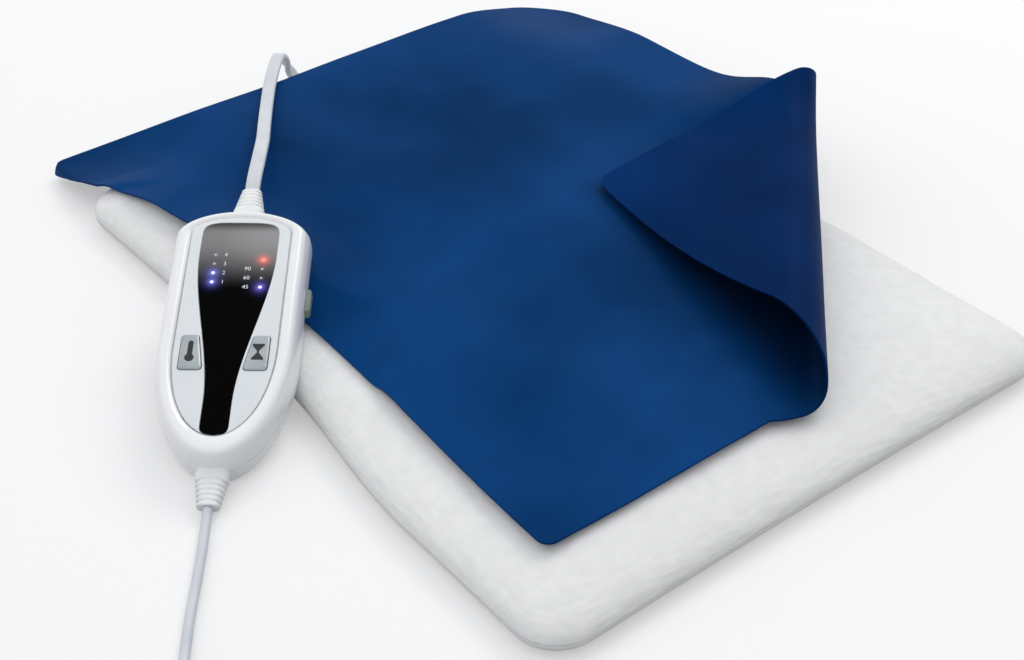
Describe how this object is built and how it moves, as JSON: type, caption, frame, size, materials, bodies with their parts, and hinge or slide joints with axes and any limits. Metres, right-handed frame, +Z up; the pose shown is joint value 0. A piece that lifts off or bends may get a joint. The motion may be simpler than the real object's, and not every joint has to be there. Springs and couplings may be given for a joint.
{
  "type": "heating pad with hand controller",
  "caption": "Fleece heating pad under a folded-back waterproof sheet, with a hand controller that has a window, push buttons and a slide switch, a pad cord and a coiled mains cord with a plug.",
  "frame": {"origin": "centre of the heating pad's flat underside, on the surface it lies on", "axes": "+X across the pad toward its right long side, +Y along the pad toward the edge where its cord enters, +Z up"},
  "size_m": [0.503, 0.4961, 0.0708],
  "materials": {
    "fleece": "soft fleece pile",
    "waterproof_film": "satin film",
    "white_shell": "smooth satin gloss",
    "pale_panel": "smooth satin",
    "black_window": "high gloss",
    "grey_button": "satin metallic",
    "grey_green_knob": "matte",
    "white_rubber": "matte",
    "white_cable": "satin",
    "circuit_board": "satin laminate",
    "black_plastic": "matte",
    "orange_plastic": "dipped gloss",
    "steel": "zinc plated",
    "plug_metal": "nickel plated",
    "felt": "needled felt",
    "heater_wire": "satin",
    "clear_light": "clear",
    "glass_tube": "clear glass"
  },
  "bodies": {
    "heating_pad_set": {"pad_top_cover": "fleece", "pad_bottom_cover": "fleece", "heating_mat": "felt", "heating_wire": "heater_wire", "pad_thermostat_left": "black_plastic", "pad_thermostat_right": "black_plastic", "pad_cord_gland": "white_rubber", "waterproof_sheet": "waterproof_film", "controller_base_shell": "white_shell", "controller_top_shell": "white_shell", "face_panel": "pale_panel", "display_lens": "black_window", "heat_tact_switch": "black_plastic", "timer_tact_switch": "black_plastic", "power_slide_switch": "black_plastic", "circuit_board": "circuit_board", "processor_chip": "black_plastic", "power_triac": "black_plastic", "filter_capacitor": "orange_plastic", "mains_fuse": "glass_tube", "mains_terminal_block": "white_rubber", "pad_terminal_block": "white_rubber", "upper_strain_relief": "white_rubber", "lower_strain_relief": "white_rubber", "pad_cord_clamp": "black_plastic", "mains_cord_clamp": "black_plastic", "pad_inner_lead": "white_cable", "mains_inner_lead": "white_cable", "pad_cord": "white_cable", "mains_cord": "white_cable", "mains_cord_coil": "white_cable", "mains_cord_tail": "white_cable", "coil_tie": "black_plastic", "plug_relief": "white_rubber", "plug_body": "white_rubber", "plug_pin_left": "plug_metal", "plug_pin_right": "plug_metal", "heat_light_1": "clear_light", "timer_light_1": "clear_light", "case_screw_1": "steel", "heat_light_2": "clear_light", "timer_light_2": "clear_light", "case_screw_2": "steel", "heat_light_3": "clear_light", "timer_light_3": "clear_light", "case_screw_3": "steel", "heat_light_4": "clear_light", "timer_light_4": "clear_light", "case_screw_4": "steel"},
    "heat_button": {"heat_button": "grey_button", "heat_switch_plunger": "black_plastic"},
    "timer_button": {"timer_button": "grey_button", "timer_switch_plunger": "black_plastic"},
    "power_knob": {"power_slide_knob": "grey_green_knob"}
  },
  "joints": [
    {"name": "heat_button_press", "type": "slide", "parent": "heating_pad_set", "child": "heat_button", "axis": [0.1818, 0.2182, -0.9588], "range_m": [0, 0.0008], "stiffness_N_per_m": 1200, "springref_m": -0.0005},
    {"name": "timer_button_press", "type": "slide", "parent": "heating_pad_set", "child": "timer_button", "axis": [0.1818, 0.2182, -0.9588], "range_m": [0, 0.0008], "stiffness_N_per_m": 1200, "springref_m": -0.0005},
    {"name": "power_switch_slide", "type": "slide", "parent": "heating_pad_set", "child": "power_knob", "axis": [0.6138, 0.7366, 0.284], "range_m": [0, 0.004]}
  ]
}
